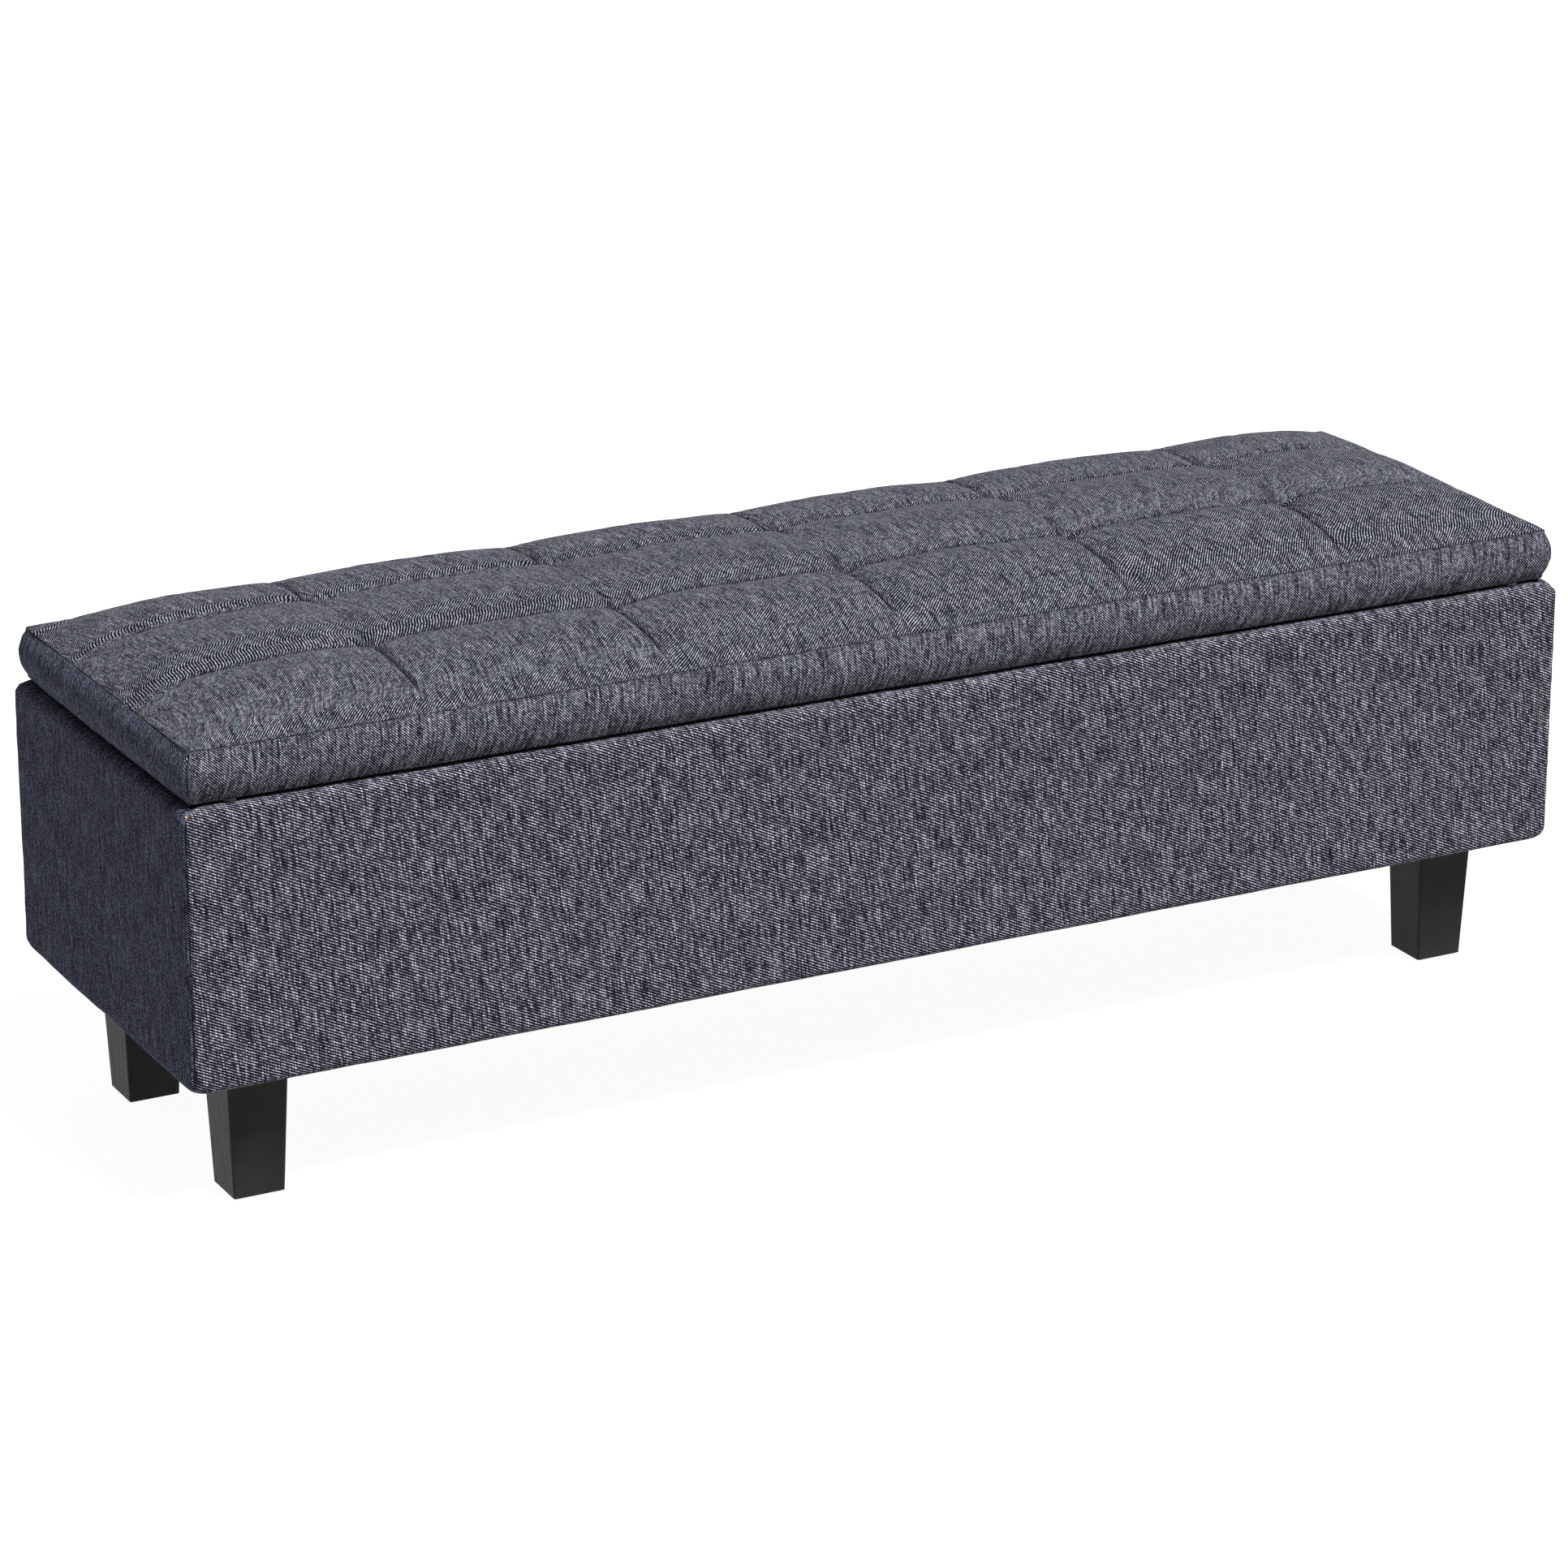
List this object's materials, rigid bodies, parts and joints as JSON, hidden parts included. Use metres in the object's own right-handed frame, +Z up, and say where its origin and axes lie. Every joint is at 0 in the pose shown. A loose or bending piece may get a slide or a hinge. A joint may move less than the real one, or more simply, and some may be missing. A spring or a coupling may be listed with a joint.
{
  "type": "storage bench",
  "caption": "Long upholstered storage bench on four tapered legs, with a tufted cushioned lid that hinges up at the back on slotted stays.",
  "frame": {"origin": "on the floor under the middle of the bench", "axes": "+Z up, +X along the bench to its right end, -Y towards the front that the lid opens at"},
  "size_m": [1.3, 0.38, 0.444],
  "materials": {
    "upholstery": "matte",
    "lining_cloth": "matte",
    "foam": "matte",
    "twine": "matte",
    "board": "matte",
    "softwood": "matte",
    "black_leg_paint": "satin",
    "zinc_steel": "satin",
    "stay_steel": "satin",
    "glide_plastic": "matte",
    "bumper_rubber": "matte"
  },
  "bodies": {
    "box": {"back_batten": "softwood", "back_cover": "upholstery", "back_left_leg": "black_leg_paint", "back_lining": "lining_cloth", "back_panel": "board", "back_right_leg": "black_leg_paint", "bottom_panel": "board", "bottom_panel_screws": "zinc_steel", "center_rail": "softwood", "corner_bracket_screws": "zinc_steel", "corner_brackets": "zinc_steel", "dust_cover": "lining_cloth", "dust_cover_staples": "zinc_steel", "floor_lining": "lining_cloth", "front_batten": "softwood", "front_cover": "upholstery", "front_left_leg": "black_leg_paint", "front_lining": "lining_cloth", "front_panel": "board", "front_right_leg": "black_leg_paint", "hinge_box_screws": "zinc_steel", "hinge_left_box_leaf": "zinc_steel", "hinge_pins": "zinc_steel", "hinge_right_box_leaf": "zinc_steel", "left_end_cover": "upholstery", "left_end_lining": "lining_cloth", "left_end_panel": "board", "leg_blocks": "softwood", "leg_glides": "glide_plastic", "leg_hanger_bolts": "zinc_steel", "leg_tee_nuts": "zinc_steel", "panel_screws": "zinc_steel", "right_end_cover": "upholstery", "right_end_lining": "lining_cloth", "right_end_panel": "board", "stay_box_screws": "zinc_steel", "stay_left_box_plate": "stay_steel", "stay_right_box_plate": "stay_steel"},
    "lid": {"hinge_left_lid_leaf": "zinc_steel", "hinge_lid_screws": "zinc_steel", "hinge_right_lid_leaf": "zinc_steel", "lid_back_band": "upholstery", "lid_board": "board", "lid_bumpers": "bumper_rubber", "lid_foam": "foam", "lid_front_band": "upholstery", "lid_left_end_band": "upholstery", "lid_lining": "lining_cloth", "lid_right_end_band": "upholstery", "lid_top_cover": "upholstery", "lid_tuft_ties": "twine", "stay_left_lid_bracket": "stay_steel", "stay_lid_screws": "zinc_steel", "stay_right_lid_bracket": "stay_steel"},
    "left_stay_arm": {"stay_left_arm": "stay_steel"},
    "right_stay_arm": {"stay_right_arm": "stay_steel"}
  },
  "joints": [
    {"name": "lid_hinge", "type": "hinge", "parent": "box", "child": "lid", "pos_m": [0, 0.186, 0.3615], "axis": [-1, 0, 0], "range_deg": [0, 95]},
    {"name": "left_stay_pivot", "type": "hinge", "parent": "lid", "child": "left_stay_arm", "pos_m": [-0.621, 0.08854, 0.34953], "axis": [-1, 0, 0], "range_deg": [-47.5, 0]},
    {"name": "right_stay_pivot", "type": "hinge", "parent": "lid", "child": "right_stay_arm", "pos_m": [0.621, 0.08854, 0.34953], "axis": [-1, 0, 0], "range_deg": [-47.5, 0]}
  ],
  "couplings": [
    {"joint": "left_stay_pivot", "follows": "lid_hinge", "ratio": -0.5},
    {"joint": "right_stay_pivot", "follows": "lid_hinge", "ratio": -0.5}
  ]
}
